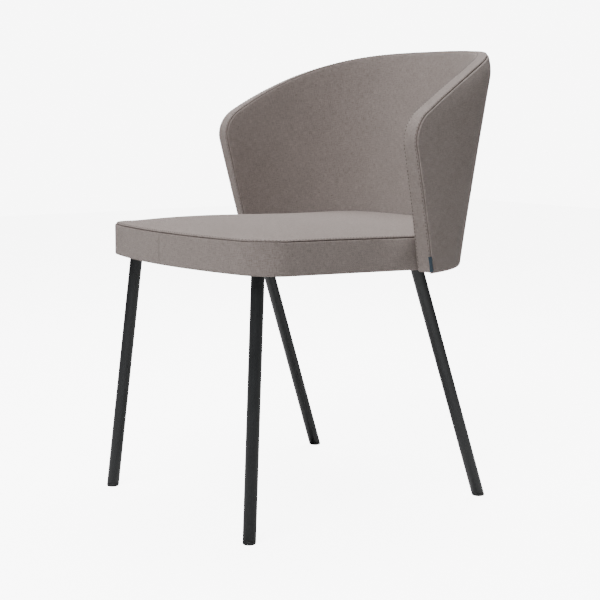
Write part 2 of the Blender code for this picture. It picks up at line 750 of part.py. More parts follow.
def build_underframe(seat):
    """Four flat bars and the screws that hold them to the board."""
    runs = {"side_bar_left": side_bar_ends(1), "side_bar_right": side_bar_ends(-1),
            "cross_bar_front": cross_bar_ends(FRONT_Y + FRONT_TOP[1]),
            "cross_bar_rear": cross_bar_ends(BACK_Y - REAR_TOP[1] - BAR_WIDTH / 2)}
    for name, (a, b) in runs.items():
        piece = bar(name, a, b)
        a = np.asarray(a)
        b = np.asarray(b)
        for number, share in enumerate(SCREW_PLACES, 1):
            x, y = a + (b - a) * share
            lathe_like(f"{name}_screw_{number}", screw_rings(x, y), zinc_steel())
            hole = cutter(f"{name}_hole_{number}", screw_rings(x, y, SCREW_CLEARANCE))
            cut(piece, hole)
            cut(seat["board"], hole)


def build_shell_fixings(shell, seat):
    """Bolts through the shell's core and spacer sleeves into the edge of the seat board."""
    bored = (shell["outer_foam"], shell["core"], shell["inner_foam"], shell["inner_cover"],
             seat["boxing"], seat["board"])
    for place, degrees in zip(("side", "back"), BOLT_ANGLES):
        for hand, side in (("left", 1), ("right", -1)):
            angle = side * math.radians(degrees)
            lathe_like(f"shell_bolt_{place}_{hand}", bolt_rings(angle), zinc_steel())
            sleeve(f"shell_sleeve_{place}_{hand}", angle)
            hole = cutter(f"shell_hole_{place}_{hand}", bolt_hole_rings(angle))
            for piece in bored:
                cut(piece, hole)


def main():
    for old in list(bpy.data.objects):
        bpy.data.objects.remove(old, do_unlink=True)
    shell = build_shell()
    seat = build_seat()
    build_legs(shell, seat)
    build_underframe(seat)
    build_shell_fixings(shell, seat)
    side_label()


main()
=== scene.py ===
# %% [markdown]
# # A dining armchair on four steel legs
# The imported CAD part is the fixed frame. Every piece made here sits where the frame's own
# solids sit, so nothing needs fitting afterwards.
# The shell and the seat are upholstered: foam under cloth panels that are sewn edge to edge.
# The legs are straight steel tubes with a powder coat.

# %% Load the frame
import math

import bmesh
import bpy
import numpy as np
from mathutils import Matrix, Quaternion, Vector, geometry, kdtree, noise
from mathutils.bvhtree import BVHTree


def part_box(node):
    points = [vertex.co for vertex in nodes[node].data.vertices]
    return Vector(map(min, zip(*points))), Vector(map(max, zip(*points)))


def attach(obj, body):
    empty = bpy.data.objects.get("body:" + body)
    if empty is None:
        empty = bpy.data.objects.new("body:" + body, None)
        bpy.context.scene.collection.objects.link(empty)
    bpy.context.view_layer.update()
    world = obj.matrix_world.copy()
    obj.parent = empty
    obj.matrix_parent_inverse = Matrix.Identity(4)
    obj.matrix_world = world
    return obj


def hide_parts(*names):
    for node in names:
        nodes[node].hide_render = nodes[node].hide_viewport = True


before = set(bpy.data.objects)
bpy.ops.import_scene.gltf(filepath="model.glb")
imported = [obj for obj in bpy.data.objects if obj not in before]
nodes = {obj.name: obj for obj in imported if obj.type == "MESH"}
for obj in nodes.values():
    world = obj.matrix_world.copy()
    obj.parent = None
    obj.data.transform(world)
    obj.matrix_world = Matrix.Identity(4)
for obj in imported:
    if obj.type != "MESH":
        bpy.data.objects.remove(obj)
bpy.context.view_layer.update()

# %% [markdown]
# ## The camera comes first
# The camera stands 2.5 m away and looks down a little on the chair's front left corner. It is
# placed by its bearing round the chair, its height and a long lens, which keeps the legs from
# seeming to splay.

# %% Camera
CAMERA_PLACE = (1.9275, -1.5380, 0.6926)
CAMERA_BEARING = math.radians(51.91)
CAMERA_PITCH = math.radians(8.02)
CAMERA_ROLL = 0.0053
CAMERA_LENS = 82.2


def linked(name, data):
    """A new object in the scene."""
    made = bpy.data.objects.new(name, data)
    bpy.context.scene.collection.objects.link(made)
    return made


def make_camera():
    data = bpy.data.cameras.new("camera")
    data.lens = CAMERA_LENS
    data.sensor_width = 36.0
    camera = linked("camera", data)
    back = Vector((math.sin(CAMERA_BEARING) * math.cos(CAMERA_PITCH),
                   -math.cos(CAMERA_BEARING) * math.cos(CAMERA_PITCH),
                   math.sin(CAMERA_PITCH)))
    camera.rotation_mode = "QUATERNION"
    turn = (-back).to_track_quat("-Z", "Y")
    camera.rotation_quaternion = turn @ Quaternion((0, 0, 1), CAMERA_ROLL)
    camera.location = CAMERA_PLACE
    bpy.context.scene.camera = camera
    return camera


camera = make_camera()
print("camera at", [round(v, 3) for v in camera.location])

# %% [markdown]
# ## The shell's own coordinates
# The back and arms are one bent shell. Seen from above it is a squarish ellipse, and it leans out
# as it rises. A point of it is given by an angle round the plan, a height, and a depth measured
# inwards from the outer cloth. These are the sizes the CAD shell is made to.

# %% Shell sizes and the surface
BACK_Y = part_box("shell_cover_band")[1].y
BACK_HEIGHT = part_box("shell_cover_band")[1].z
SHELL_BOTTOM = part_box("shell_cover_outer")[0].z
HALF_WIDTH = 0.283
REACH = 0.443
PLAN_POWER = 2.70
BACK_FLARE = 0.229
SIDE_FLARE = 0.016
RIM_SLOPE = 0.130
RIM_CURVE = 0.773
ARM_LENGTH = 0.278
ARM_RAKE = 0.254
ARM_CORNER = 0.035
CORNER_FULLNESS = 0.8
THICKNESS = 0.0334
CORE_FRONT = 0.0068
CORE_BACK = 0.0168
PLAN_Y = BACK_Y - REACH
SHELL_HEIGHT = BACK_HEIGHT - SHELL_BOTTOM


def half_axes(height):
    """Half the plan's width and its reach to the back, which grow with the height."""
    up = height - SHELL_BOTTOM
    return HALF_WIDTH + SIDE_FLARE * up, REACH + BACK_FLARE * (up - SHELL_HEIGHT)


def shell_plan(angle, height):
    """Radius round the plan, and the two half axes, at an angle and height."""
    wide, deep = half_axes(height)
    share = np.abs(np.sin(angle) / wide) ** PLAN_POWER + np.abs(np.cos(angle) / deep) ** PLAN_POWER
    return share ** (-1 / PLAN_POWER), wide, deep


def shell_point(angle, height, depth):
    """Point of the shell: angle from straight back, height, depth inwards."""
    radius, wide, deep = shell_plan(angle, height)
    x = radius * np.sin(angle)
    y = radius * np.cos(angle)
    nx = np.sign(x) * np.abs(x / wide) ** (PLAN_POWER - 1) / wide
    ny = np.sign(y) * np.abs(y / deep) ** (PLAN_POWER - 1) / deep
    size = np.hypot(nx, ny)
    return np.stack([x - depth * nx / size, y - depth * ny / size + PLAN_Y, height + 0 * x], -1)


# %% [markdown]
# ## A flat pattern for the shell
# An upholsterer cuts flat cloth. The shell nearly unrolls flat, so its panels are planned in a
# pattern with the distance round the plan across and the height up. That pattern also gives the
# run of the threads.

# %% Flat pattern and the sewn edge
PATTERN_LEVEL = 0.60
SOLVE_STEPS = 60
FRONT_POINTS = 200
CORNER_POINTS = 60
RIM_POINTS = 700
angle_table = np.linspace(-2.2, 2.2, 4401)
table_points = shell_point(angle_table, PATTERN_LEVEL + 0 * angle_table, 0.0)


def run_along(line):
    """Distance along a line at each of its points."""
    return np.concatenate([[0], np.cumsum(np.linalg.norm(np.diff(line, axis=0), axis=1))])


round_table = run_along(table_points)
round_table -= np.interp(0.0, angle_table, round_table)


def angle_at(across):
    return np.interp(across, round_table, angle_table)


def across_at(angle):
    return np.interp(angle, angle_table, round_table)


def rim_height(y):
    forward = BACK_Y - y
    return BACK_HEIGHT - RIM_SLOPE * forward - RIM_CURVE * forward ** 2


def arm_front(height):
    return BACK_Y - ARM_LENGTH - ARM_RAKE * (height - SHELL_BOTTOM)


def pattern_of(side_view):
    """Pattern points of the outer face for points of the side view, on the +X side."""
    y, height = side_view[:, 0], side_view[:, 1]
    wide, deep = half_axes(height)
    share = np.clip((y - PLAN_Y) / deep, 0.0, 1.0)
    x = wide * (1 - share ** PLAN_POWER) ** (1 / PLAN_POWER)
    return np.column_stack([across_at(np.arctan2(x, y - PLAN_Y)), height])


def shell_edge():
    """Sewn edge in the pattern: up one arm's front, over the rim, down the other arm."""
    height = BACK_HEIGHT
    for _ in range(SOLVE_STEPS):
        height = rim_height(arm_front(height))
    middle = np.array([arm_front(height), height])
    start = np.array([arm_front(height - ARM_CORNER), height - ARM_CORNER])
    end_y = middle[0] + ARM_CORNER
    end = np.array([end_y, rim_height(end_y)])
    rise = np.linspace(SHELL_BOTTOM, start[1], FRONT_POINTS)[:-1]
    front = np.column_stack([arm_front(rise), rise])
    t = np.linspace(0, 1, CORNER_POINTS)[:, None]
    weights = (1 - t) ** 2, 2 * CORNER_FULLNESS * t * (1 - t), t ** 2
    corner = (weights[0] * start + weights[1] * middle + weights[2] * end) / sum(weights)
    y = end_y + (BACK_Y - end_y) * np.sin(np.linspace(0, math.pi / 2, RIM_POINTS))[1:]
    rim = np.column_stack([y, rim_height(y)])
    half = pattern_of(np.concatenate([front, corner, rim]))
    half[-1, 0] = 0.0
    other = half[::-1][1:] * (-1, 1)
    return np.concatenate([half, other])


def evenly(line, step=0.001):
    """The same line in even steps, with the distance along it."""
    run = run_along(line)
    count = int(round(run[-1] / step)) + 1
    places = np.linspace(0, run[-1], count)
    return np.stack([np.interp(places, run, c) for c in line.T], 1), places


edge_line, edge_run = evenly(shell_edge())
slope = np.gradient(edge_line, axis=0)
slope /= np.linalg.norm(slope, axis=1)[:, None]
edge_inward = np.column_stack([-slope[:, 1], slope[:, 0]])


def beside(line, inward, run, inset, places):
    """Points at an inset from a sewn line, at distances along it."""
    at, way = (np.column_stack([np.interp(places, run, c) for c in v.T]) for v in (line, inward))
    return at + np.reshape(inset, (-1, 1)) * way


def edge_points(inset, places):
    """Pattern points at an inset from the shell's sewn edge, at distances along it."""
    return beside(edge_line, edge_inward, edge_run, inset, places)


def on_shell(flat, depth):
    """Pattern points bent round the shell, at a depth."""
    return shell_point(angle_at(flat[:, 0]), flat[:, 1], depth)


print("sewn edge of the shell:", round(edge_run[-1], 3), "m")

# %% [markdown]
# ## How a sewn edge looks
# Two panels meet at a seam on a rounded corner. The foam rounds the corner and the thread pulls
# both cloths down, so the seam lies in a narrow valley. One profile gives both panels their side
# of it, so they meet in one line. Thicker foam rounds the back's top edge more than the arms', and
# at the foot the cloth turns under in a hem.

# %% Profile of a sewn corner
CORNER_RADIUS = 0.0042
SEAM_SINK = 0.0038
SEAM_WIDTH = 0.0012
SEAM_INSET = CORNER_RADIUS * (1 - math.cos(math.pi / 4))
SEAM_ROWS = SEAM_INSET + np.array([0.0, 0.25, 0.55, 0.9, 1.3, 1.9, 2.8, 4.4, 7.2]) / 1000
SHOULDER_START = 0.640
SHOULDER_DEPTH = 0.0115
SHOULDER_RUN = 0.040
HEM_RADIUS = 0.0060
HEM_ROWS = np.array([0.0, 0.5, 1.3, 2.6, 4.4, 6.6]) / 1000


def sewn_corner(inset):
    """How far a panel point moves further in, and how deep, at an inset from the sharp corner."""
    turn = np.arccos(np.clip(1 - inset / CORNER_RADIUS, 0.0, 1.0))
    beyond = np.maximum(inset - CORNER_RADIUS, 0.0)
    along = (turn - math.pi / 4) * CORNER_RADIUS + beyond
    sink = SEAM_SINK * np.exp(-(along / SEAM_WIDTH) ** 2)
    return sink * np.cos(turn), CORNER_RADIUS * (1 - np.sin(turn)) + sink * np.sin(turn), along


def soft_shoulder(edge_height, along):
    """Extra depth of the outer cloth near the rim, where thick foam rounds the back's edge."""
    share = np.clip((edge_height - SHOULDER_START) / (BACK_HEIGHT - SHOULDER_START), 0.0, 1.0)
    share = share * share * (3 - 2 * share)
    return SHOULDER_DEPTH * share * np.clip(1 - along / SHOULDER_RUN, 0.0, 1.0) ** 2


def turned_under(above, radius=HEM_RADIUS):
    """How deep cloth is turned in at a height above the piece's lower edge."""
    left = np.clip(radius - above, 0.0, radius)
    return radius - np.sqrt(radius ** 2 - left ** 2)


def away_from(line, points):
    """Distance of points from a line, and the direction straight away from it."""
    tree = kdtree.KDTree(len(line))
    for i, p in enumerate(line):
        tree.insert((p[0], p[1], 0.0), i)
    tree.balance()
    near = np.array([tree.find((p[0], p[1], 0.0))[1] for p in points])
    best = np.full(len(points), np.inf)
    foot = np.zeros_like(points)
    for shift in (-1, 0):
        a = line[np.clip(near + shift, 0, len(line) - 2)]
        b = line[np.clip(near + shift, 0, len(line) - 2) + 1]
        t = np.clip(((points - a) * (b - a)).sum(1) / ((b - a) ** 2).sum(1), 0, 1)[:, None]
        place = a + (b - a) * t
        gap = np.linalg.norm(points - place, axis=1)
        foot = np.where((gap < best)[:, None], place, foot)
        best = np.minimum(gap, best)
    return best, (points - foot) / np.maximum(best, 1e-9)[:, None]


# %% [markdown]
# ## Sheets, swelling and closed pads
# A pad is made from a front sheet and a back sheet with the same faces. The front is filled by a
# small cloth simulation: the seams are pinned, gravity is off, and pressure swells the rest
# against the cloth's own stretch. A point may move only so far, because real foam stops it.

# %% Building pads
SWELL_FRAMES = 20
CLOTH = {"vertex_group_mass": "sewn", "use_pressure": True, "uniform_pressure_force": 4.0,
         "quality": 4, "mass": 0.3, "tension_stiffness": 15, "compression_stiffness": 15,
         "bending_stiffness": 2}
LATTICE = 0.006
LATTICE_GAP = 0.6 * LATTICE
PINNED = 0.004
PINNED_HEM = 0.003


def ripple(points, period):
    """Smooth deterministic noise over points, about -1 to 1."""
    return np.array([noise.noise(Vector(p) / period) for p in points])


def unevenness(points, along, pucker, free, wave, shift=0.0):
    """Puckers that fade away from a seam, and long waves where the cloth is free."""
    height, fade, period = pucker
    swell, length = wave
    return (height * np.exp(-along / fade) * ripple(points, period),
            swell * free * ripple(points + shift, length))


def new_object(name, points, faces):
    mesh = bpy.data.meshes.new(name)
    mesh.from_pydata([tuple(p) for p in points], [], [tuple(f) for f in faces])
    return linked(name, mesh)


def facing(points, faces, outward):
    """The faces, turned over if they face against outward."""
    tri = np.array([f[:3] for f in faces])
    normal = np.cross(points[tri[:, 1]] - points[tri[:, 0]], points[tri[:, 2]] - points[tri[:, 0]])
    if (normal * outward[tri[:, 0]]).sum() < 0:
        return [tuple(f[::-1]) for f in faces]
    return [tuple(f) for f in faces]


def evened(moved, faces, sewn, rounds=8):
    """Movement averaged with its neighbours', as foam evens out small creases; seams stay put."""
    ends = np.array([(a, b) for f in faces for a, b in zip(f, (*f[1:], f[0]))])
    count = np.maximum(np.bincount(ends[:, 0], minlength=len(moved)), 1)[:, None]
    for _ in range(rounds):
        total = np.zeros_like(moved)
        np.add.at(total, ends[:, 0], moved[ends[:, 1]])
        moved = np.where(sewn[:, None], moved, (moved + total / count) / 2)
    return moved


def swelled(points, faces, sewn, most):
    """Front sheet after the cloth simulation, each point moved at most so far."""
    made = new_object("swelling", points, faces)
    group = made.vertex_groups.new(name="sewn")
    group.add([int(i) for i in np.flatnonzero(sewn)], 1.0, "REPLACE")
    cloth = made.modifiers.new("cloth", "CLOTH")
    for setting, value in CLOTH.items():
        setattr(cloth.settings, setting, value)
    cloth.settings.effector_weights.gravity = 0.0
    cloth.collision_settings.use_collision = False
    scene = bpy.context.scene
    for step in range(1, SWELL_FRAMES + 1):
        scene.frame_set(step)
    seen = made.evaluated_get(bpy.context.evaluated_depsgraph_get())
    flat = np.zeros(len(points) * 3)
    seen.data.vertices.foreach_get("co", flat)
    moved = flat.reshape(-1, 3) - points
    far = np.linalg.norm(moved, axis=1)
    bpy.data.objects.remove(made)
    scene.frame_set(1)
    keep = most * np.tanh(far / most) / np.maximum(far, 1e-9)
    moved = evened(moved * keep[:, None], faces, sewn)
    print("  swelled by up to", round(1000 * np.linalg.norm(moved, axis=1).max(), 1), "mm")
    return points + moved


def smooth(made):
    made.data.polygons.foreach_set("use_smooth", [True] * len(made.data.polygons))
    print(made.name, len(made.data.polygons), "faces")


def closed_pad(name, front, back, faces, pattern, sewn, most):
    """Closed pad from two sheets with the same faces. The front is swelled, but not where it is
    sewn, and the pattern becomes the UV map in metres."""
    faces = facing(front, faces, front - back)
    front = swelled(front, faces, sewn, most)
    count = len(front)
    seen = {}
    for f in faces:
        for a, b in zip(f, (*f[1:], f[0])):
            seen[(a, b)] = True
    rim = [(a, b) for a, b in seen if (b, a) not in seen]
    behind = [tuple(i + count for i in f[::-1]) for f in faces]
    walls = [(b, a, a + count, b + count) for a, b in rim]
    made = new_object(name, np.concatenate([front, back]), list(faces) + behind + walls)
    uv = made.data.uv_layers.new(name="threads")
    index = np.zeros(len(made.data.loops), int)
    made.data.loops.foreach_get("vertex_index", index)
    both = np.concatenate([pattern, pattern])
    uv.data.foreach_set("uv", both[index].astype(np.float32).ravel())
    smooth(made)
    made.data.update()
    return made


def flat_mesh(outline, others):
    """Triangles between an outline and the points inside it, by Delaunay's rule."""
    points = [Vector(p) for p in np.concatenate([outline, others])]
    ring = list(range(len(outline)))
    verts, _, faces, *_ = geometry.delaunay_2d_cdt(points, [], [ring], 1, 1e-7)
    used = sorted({i for f in faces for i in f})
    place = {old: new for new, old in enumerate(used)}
    flat = np.array([(verts[i].x, verts[i].y) for i in used])
    return flat, [tuple(place[i] for i in f) for f in faces]


def lattice(low, high, step=LATTICE):
    """Points of a triangular lattice over a box."""
    rise = step * math.sqrt(3) / 2
    rows = []
    for k, v in enumerate(np.arange(low[1], high[1], rise)):
        u = np.arange(low[0] + (k % 2) * step / 2, high[0], step)
        rows.append(np.column_stack([u, 0 * u + v]))
    return np.concatenate(rows)


# %% [markdown]
# ## Outer and inner panels of the shell
# Each is one piece of cloth from arm to arm. Rows of points close together follow the seam, so the
# valley is sharp, and an even lattice fills the rest. The outer panel lies on thin foam, the inner
# one on thicker foam.

# %% Shell panels
BORDER_STEP = 0.005
FOOT_MARGIN = 0.004
FOOT_STEPS = 120
PANEL_FREE = 0.030
PANEL_PUCKER = (0.00022, 0.007, 0.011)
PANEL_WAVE = (0.0005, 0.085)
PANEL_PULL = 0.0010
SPREAD_RUN = 1.4
SPREAD_LEFT = 0.002
PANEL_LEAST = 0.0004


def panel_pattern(bottom):
    """Flat triangulated panel between the sewn edge and a level lower edge."""
    first = (bottom - SHELL_BOTTOM) + HEM_ROWS[-1] + FOOT_MARGIN
    count = int(round((edge_run[-1] - 2 * first) / BORDER_STEP))
    places = np.linspace(first, edge_run[-1] - first, count + 1)
    feet = []
    for above in HEM_ROWS:
        height = bottom + above
        u = np.interp(height, edge_line[:FOOT_STEPS, 1], edge_line[:FOOT_STEPS, 0])
        lean = math.hypot(1.0, ARM_RAKE)
        feet.append(np.column_stack([u - SEAM_ROWS * lean, height + 0 * SEAM_ROWS]))
    feet = np.array(feet)
    rows = [edge_points(inset, places) for inset in SEAM_ROWS]
    limit = feet[0, -1, 0] - BORDER_STEP
    along = np.linspace(-limit, limit, int(round(2 * limit / BORDER_STEP)) + 1)
    left_foot = feet[:, 0]
    right_foot = feet[::-1, 0] * (-1, 1)
    low = np.column_stack([along, 0 * along + bottom])
    outline = np.concatenate([left_foot, rows[0], right_foot, feet[0, 1:] * (-1, 1), low,
                              feet[0, 1:][::-1]])
    inner = rows[1:]
    inner += [feet[1:, 1:].reshape(-1, 2), feet[1:, 1:].reshape(-1, 2) * (-1, 1)]
    inner += [np.column_stack([along, 0 * along + bottom + above]) for above in HEM_ROWS[1:]]
    fill = lattice((-edge_line[:, 0].max(), bottom), (edge_line[:, 0].max(), BACK_HEIGHT))
    gap, _ = away_from(edge_line, fill)
    inside = edge_inside(fill) & (gap > SEAM_ROWS[-1] + LATTICE_GAP)
    inside &= fill[:, 1] > bottom + HEM_ROWS[-1] + LATTICE_GAP
    inner.append(fill[inside])
    return flat_mesh(outline, np.concatenate(inner))


def edge_inside(points):
    """True for pattern points below the sewn edge."""
    half = len(edge_line) // 2
    rising = edge_line[:half + 1]
    widest = np.argmax(rising[:, 0])
    over = rising[widest:][::-1]
    top = np.interp(np.abs(points[:, 0]), over[:, 0], over[:, 1])
    front = np.interp(points[:, 1], rising[:widest + 1, 1], rising[:widest + 1, 0])
    return (points[:, 1] < top) & (np.abs(points[:, 0]) < front)


def shell_panel(name, bottom, face_depth, back_depth, most):
    """One panel with its foam; depths grow inwards from the shell's outer face."""
    flat, faces = panel_pattern(bottom)
    gap, inward = away_from(edge_line, flat)
    above = flat[:, 1] - bottom
    further, deep, along = sewn_corner(gap)
    deep = deep + turned_under(above)
    if face_depth == 0.0:
        deep = deep + soft_shoulder((flat - inward * gap[:, None])[:, 1], along)
    way = np.sign(back_depth - face_depth)
    free = 1 - np.exp(-np.minimum(along, above) / PANEL_FREE)
    deep = deep + PANEL_PULL * free
    spot = np.column_stack([flat, 0 * gap])
    pucker, wave = unevenness(spot, along, PANEL_PUCKER, free, PANEL_WAVE, (0, 0, face_depth * 100))
    deep = deep + pucker + wave
    place = flat + inward * further[:, None]
    front = on_shell(place, face_depth + way * deep)
    reach = abs(back_depth - face_depth)
    spread = (reach - SPREAD_LEFT) * np.exp(-(gap - SEAM_INSET) / (SPREAD_RUN * reach))
    place = flat + inward * (further + spread)[:, None]
    place[:, 1] = np.maximum(place[:, 1], bottom)
    behind = np.maximum(reach, deep + PANEL_LEAST)
    back = on_shell(place, face_depth + way * behind)
    sewn = (along < PINNED) | (above < PINNED_HEM)
    return closed_pad(name, front, back, faces, flat, sewn, most)


CORE_GAP = 0.0003
INNER_BOTTOM = 0.424
OUTER_SWELL = 0.0016
INNER_SWELL = 0.0017
outer_panel = shell_panel("shell_outer_panel", SHELL_BOTTOM, 0.0, CORE_FRONT - CORE_GAP,
                          OUTER_SWELL)
inner_panel = shell_panel("shell_inner_panel", INNER_BOTTOM, THICKNESS, CORE_BACK + CORE_GAP,
                          INNER_SWELL)

# %% [markdown]
# ## The rim band
# A strip of the same cloth covers the shell's edge, from one arm's foot over the rim to the other.
# It is sewn to both panels. It is lofted as a grid along the seam, because it has one shape all
# the way.

# %% Rim band
BAND_BACK = 0.0075
BAND_LEAST = 0.0006
BAND_START = 0.011
BAND_FREE = 0.006
BAND_PUCKER = (0.00025, 0.006, 0.009)
BAND_WAVE = (0.0004, 0.045)
BAND_SWELL = 0.0018
BAND_MIDDLE = 3


def loft_faces(count_along, count_across, ring=False):
    faces = []
    for i in range(count_along if ring else count_along - 1):
        j = (i + 1) % count_along
        for k in range(count_across - 1):
            a, b = i * count_across, j * count_across
            faces.append((a + k, b + k, b + k + 1, a + k + 1))
    return faces


def band_stations():
    """Distances along the sewn edge, close together at the two feet."""
    body = np.linspace(BAND_START, edge_run[-1] - BAND_START, int(edge_run[-1] / BORDER_STEP))
    return np.concatenate([HEM_ROWS, body, (edge_run[-1] - HEM_ROWS)[::-1]])


def rim_band():
    places = band_stations()
    side = SEAM_ROWS
    middle = np.linspace(side[-1], THICKNESS - side[-1], BAND_MIDDLE + 2)[1:-1]
    across = np.concatenate([side, middle, (THICKNESS - side)[::-1]])
    near = np.minimum(across, THICKNESS - across)
    further, deep, along = sewn_corner(near)
    toward = np.where(across < THICKNESS / 2, 1.0, -1.0)
    depth = across + toward * further
    free = 1 - np.exp(-along / BAND_FREE)
    under = turned_under(np.minimum(places, edge_run[-1] - places))
    front, back, pattern = [], [], []
    for s, roll in zip(places, under):
        where = np.column_stack([across * 0 + s, across, across * 0])
        pucker, wave = unevenness(where, along, BAND_PUCKER, free, BAND_WAVE)
        inset = deep - 0.0 + roll + pucker + wave
        flat = edge_points(inset, s + 0 * inset)
        flat[:, 1] = np.maximum(flat[:, 1], SHELL_BOTTOM)
        lost = soft_shoulder(edge_points(0.0, s + 0 * inset)[:, 1], 0.0)
        kept = 1 - lost / THICKNESS
        front.append(on_shell(flat, lost + depth * kept))
        inset = np.maximum(BAND_BACK, inset + BAND_LEAST)
        flat = edge_points(inset, s + 0 * inset)
        flat[:, 1] = np.maximum(flat[:, 1], SHELL_BOTTOM)
        narrow = THICKNESS / 2 + (across - THICKNESS / 2) * (1 - 2 * BAND_BACK / THICKNESS)
        narrow = lost + narrow * kept
        back.append(on_shell(flat, narrow))
        pattern.append(np.column_stack([0 * across + s, across]))
    front, back, pattern = (np.concatenate(v) for v in (front, back, pattern))
    sewn = np.tile(along < PINNED_HEM, len(places))
    sewn |= np.repeat(np.minimum(places, edge_run[-1] - places) < PINNED, len(across))
    faces = loft_faces(len(places), len(across))
    return closed_pad("shell_rim_band", front, back, faces, pattern, sewn, BAND_SWELL)


band = rim_band()

# %% [markdown]
# ## The seat cushion
# A domed top panel is sewn to a side band, the boxing. The plan has a bowed front, round front
# corners and straight sides, and its rear follows the shell. The dome is nearly flat on top and
# falls at the front and the sides. The boxing bulges a little at each arm's front, where the arm
# stops pressing on it.

# %% Seat sizes and plan
FRONT_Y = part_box("seat_cover_top")[0].y
SEAT_HEIGHT = 0.487
SEAT_PITCH = 0.030
SEAT_BOXING = 0.055
SEAT_CROWN = 0.022
SEAT_HALF_WIDTH = 0.236
SEAT_BOW = 0.042
SEAT_CORNER = 0.047
SEAT_CLEARANCE = 0.003
CROWN_POWER = 4.0
CROWN_RUN = 0.291
BOXING_BOTTOM = -0.0012
BOXING_TURN = 0.0032
SIDE_BULGE = 0.0070
BULGE_Y = -0.005
BULGE_RUN = 0.032
BULGE_FROM = 0.2
REAR_POINTS = 240
SIDE_POINTS = 80


def seat_level(y, above):
    return SEAT_HEIGHT - SEAT_BOXING - SEAT_PITCH * (y - FRONT_Y) + above


def seat_crown(x, y):
    front = FRONT_Y + SEAT_BOW * (x / SEAT_HALF_WIDTH) ** 2
    forward = np.clip((front + CROWN_RUN - y) / CROWN_RUN, 0.0, 1.0)
    aside = np.clip(np.abs(x) / (SEAT_HALF_WIDTH + SEAT_CLEARANCE), 0.0, 1.0)
    return SEAT_CROWN * (1 - aside ** CROWN_POWER) * (1 - forward ** CROWN_POWER)


def seat_plan():
    """Closed plan of the seat's sharp upper edge, in even steps."""
    x = np.linspace(0, SEAT_HALF_WIDTH - SEAT_CORNER, CORNER_POINTS)
    front = np.column_stack([x, FRONT_Y + SEAT_BOW * (x / SEAT_HALF_WIDTH) ** 2])
    foot = pattern_of(np.array([[BACK_Y - ARM_LENGTH, SHELL_BOTTOM]]))[0, 0]
    angle = np.linspace(angle_at(foot), 0.0, REAR_POINTS)
    depth = THICKNESS + SEAT_CLEARANCE
    rear = shell_point(angle, seat_level(0.0, SEAT_BOXING) + 0 * angle, depth)
    rear = shell_point(angle, seat_level(rear[:, 1], SEAT_BOXING), depth)[:, :2]
    tip = np.array([SEAT_HALF_WIDTH, FRONT_Y + SEAT_BOW])
    run = rear[0] - tip
    end = tip + run / np.linalg.norm(run) * SEAT_CORNER
    handle = 4 / 3 * (math.sqrt(2) - 1)
    first = front[-1] + (tip - front[-1]) * handle
    second = end + (tip - end) * handle
    t = np.linspace(0, 1, CORNER_POINTS)[1:, None]
    corner = ((1 - t) ** 3 * front[-1] + 3 * (1 - t) ** 2 * t * first
              + 3 * (1 - t) * t ** 2 * second + t ** 3 * end)
    side = np.linspace(end, rear[0], SIDE_POINTS)[1:-1]
    half = np.concatenate([front, corner, side, rear])
    return np.concatenate([half, half[1:-1][::-1] * (-1, 1), half[:1]])


seat_line, seat_run = evenly(seat_plan())
lead = np.roll(seat_line[:-1], -1, axis=0) - np.roll(seat_line[:-1], 1, axis=0)
lead /= np.linalg.norm(lead, axis=1)[:, None]
seat_inward = np.column_stack([-lead[:, 1], lead[:, 0]])
seat_inward = np.concatenate([seat_inward, seat_inward[:1]])
print("seat seam:", round(seat_run[-1], 3), "m round")


# %% Seat top panel
TOP_FREE = 0.045
TOP_PUCKER = (0.0003, 0.008, 0.012)
TOP_WAVE = (0.0008, 0.11)
TOP_PULL = 0.005
TOP_SWELL = 0.0065
TOP_BACK = 0.0215
TOP_LEAST = 0.001
TOP_REACH = 0.26
TUCK = 0.022
TUCK_RUN = 0.030
SAME_ROW = 0.00025


def seat_edge(inset, places):
    return beside(seat_line, seat_inward, seat_run, inset, places)


def seat_places():
    count = int(round(seat_run[-1] / BORDER_STEP))
    return np.linspace(0, seat_run[-1], count + 1)[:-1]


def seat_top():
    places = seat_places()
    rows = [seat_edge(inset, places) for inset in SEAM_ROWS]
    inner = []
    for inset, row in zip(SEAM_ROWS[1:], rows[1:]):
        gap, _ = away_from(seat_line, row)
        inner.append(row[gap > inset - SAME_ROW])
    fill = lattice((-TOP_REACH, FRONT_Y), (TOP_REACH, BACK_Y))
    gap, _ = away_from(seat_line, fill)
    fill = fill[gap > SEAM_ROWS[-1] + LATTICE_GAP]
    flat, faces = flat_mesh(rows[0], np.concatenate(inner + [fill]))
    gap, inward = away_from(seat_line, flat)
    further, deep, along = sewn_corner(gap)
    free = 1 - np.exp(-along / TOP_FREE)
    spot = np.column_stack([flat, 0 * gap])
    pucker, wave = unevenness(spot, along, TOP_PUCKER, free, TOP_WAVE, 3.0)
    place = flat + inward * further[:, None]
    pull = TOP_PULL
    rise = seat_crown(place[:, 0], place[:, 1]) - deep - pull * free - pucker - wave
    front = np.column_stack([place, seat_level(place[:, 1], SEAT_BOXING) + rise])
    place = flat + inward * (further + TUCK * np.exp(-gap / TUCK_RUN))[:, None]
    low = np.minimum(seat_level(place[:, 1], TOP_BACK), front[:, 2] - TOP_LEAST)
    back = np.column_stack([place, low])
    return closed_pad("seat_top_panel", front, back, faces, flat, along < PINNED, TOP_SWELL)


seat_pad = seat_top()


# %% Seat boxing
BOXING_PUCKER = (0.0003, 0.009, 0.013)
BOXING_WAVE = (0.0006, 0.06)
BOXING_SWELL = 0.0020
BOXING_BACK = 0.009
BOXING_LEAST = 0.0008
BOXING_DROP = 0.010
BOXING_MIDDLE = 6


